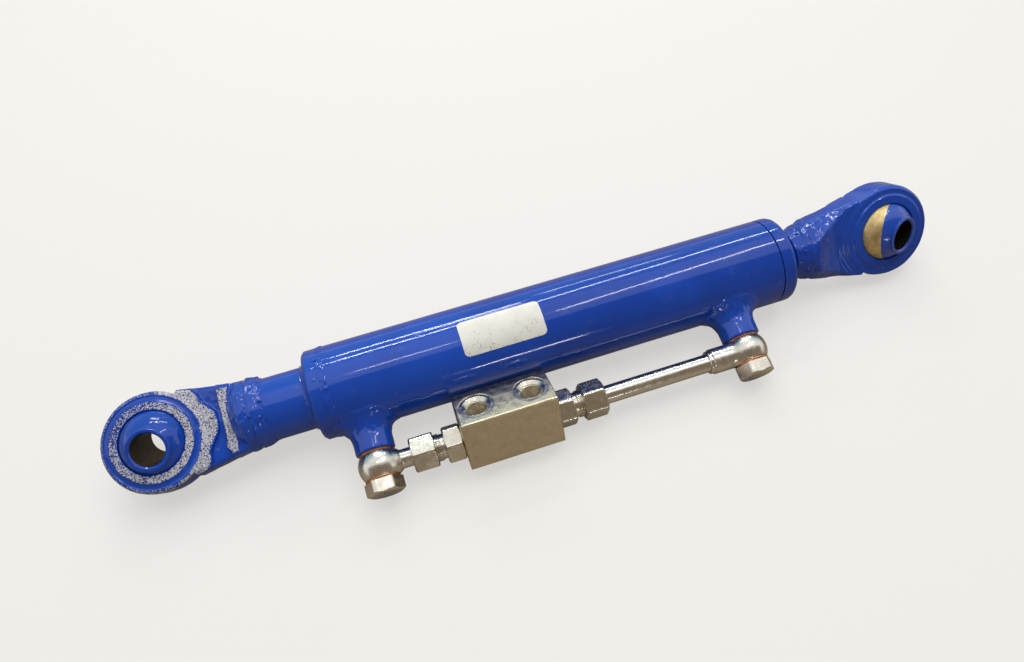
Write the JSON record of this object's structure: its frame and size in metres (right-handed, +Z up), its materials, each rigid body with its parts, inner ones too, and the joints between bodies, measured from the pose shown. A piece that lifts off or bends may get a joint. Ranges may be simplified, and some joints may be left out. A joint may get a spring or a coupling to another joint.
{
  "type": "hydraulic tractor top link",
  "caption": "Double-acting hydraulic cylinder with a swivelling ball eye at each end, welded oil ports and a double lock valve piped along its side.",
  "frame": {"origin": "centre of the base end's ball, on the axis of its pin bore, with the cylinder closed", "axes": "+X along the cylinder from the base ball to the rod ball, +Z up with the link lying on a bench; the oil ports point towards -Y, 11.8 degrees below level"},
  "size_m": [0.7052, 0.1325, 0.0758],
  "materials": {
    "blue_enamel": "gloss enamel",
    "yellow_zinc": "yellow passivated, turned",
    "hard_chrome": "ground and polished hard chrome",
    "machined_steel": "as machined",
    "bright_zinc": "bright zinc plated",
    "zinc_hex": "zinc plated hexagons",
    "tube_zinc": "drawn tube, zinc plated",
    "block_zinc": "milled and zinc plated",
    "copper": "soft copper",
    "nitrile_rubber": "black nitrile",
    "bearing_plastic": "filled bearing plastic",
    "label_film": "blank printed film"
  },
  "bodies": {
    "barrel": {"base_eye": "blue_enamel", "eye_stub_weld": "blue_enamel", "base_stub": "blue_enamel", "stub_cap_weld": "blue_enamel", "base_cap": "blue_enamel", "barrel_base_weld": "blue_enamel", "barrel_tube": "blue_enamel", "port_bosses": "blue_enamel", "boss_welds": "blue_enamel", "gland_head": "blue_enamel", "base_banjo": "bright_zinc", "rod_banjo": "bright_zinc", "banjo_bolts": "zinc_hex", "tube_nuts": "zinc_hex", "port_adapters": "zinc_hex", "long_tube": "tube_zinc", "valve_block": "block_zinc", "copper_washers": "copper", "cutting_rings": "machined_steel", "base_side_spring": "machined_steel", "rod_side_spring": "machined_steel", "gland_o_ring": "nitrile_rubber", "rod_seal": "nitrile_rubber", "rod_wiper": "nitrile_rubber", "adapter_seals": "nitrile_rubber", "rod_guide_ring": "bearing_plastic", "blank_label": "label_film"},
    "base_ball": {"base_ball": "blue_enamel"},
    "piston_rings": {"piston_seal": "nitrile_rubber", "wear_rings": "bearing_plastic"},
    "rod": {"piston_rod": "hard_chrome", "piston": "machined_steel", "piston_nut": "machined_steel", "rod_eye_weld": "blue_enamel", "rod_eye": "blue_enamel"},
    "rod_ball": {"rod_ball": "yellow_zinc"},
    "pilot": {"pilot_piston": "machined_steel", "pilot_seal": "nitrile_rubber"},
    "base_poppet": {"base_side_poppet": "machined_steel"},
    "rod_poppet": {"rod_side_poppet": "machined_steel"}
  },
  "joints": [
    {"name": "base_ball_tilt", "type": "hinge", "parent": "barrel", "child": "base_ball", "pos_m": [0, 0, 0], "axis": [1, 0, 0], "range_deg": [-37, 9]},
    {"name": "cylinder_slide", "type": "slide", "parent": "barrel", "child": "piston_rings", "axis": [1, 0, 0], "range_m": [0, 0.25]},
    {"name": "rod_turn", "type": "hinge", "parent": "piston_rings", "child": "rod", "pos_m": [0.35, 0, 0], "axis": [1, 0, 0], "continuous": true},
    {"name": "rod_ball_tilt", "type": "hinge", "parent": "rod", "child": "rod_ball", "pos_m": [0.626, 0, 0], "axis": [0, 0.6046, 0.7965], "range_deg": [-41, 1.5]},
    {"name": "pilot_slide", "type": "slide", "parent": "barrel", "child": "pilot", "axis": [1, 0, 0], "range_m": [0, 0.0015]},
    {"name": "base_poppet_lift", "type": "slide", "parent": "barrel", "child": "base_poppet", "axis": [1, 0, 0], "range_m": [-0.0013, 0], "deforming": ["base_side_spring"]},
    {"name": "rod_poppet_lift", "type": "slide", "parent": "barrel", "child": "rod_poppet", "axis": [1, 0, 0], "range_m": [0, 0.0013], "deforming": ["rod_side_spring"]}
  ],
  "couplings": [
    {"joint": "rod_poppet_lift", "follows": "pilot_slide", "ratio": 0.85},
    {"joint": "base_poppet_lift", "follows": "pilot_slide", "ratio": -0.85}
  ]
}
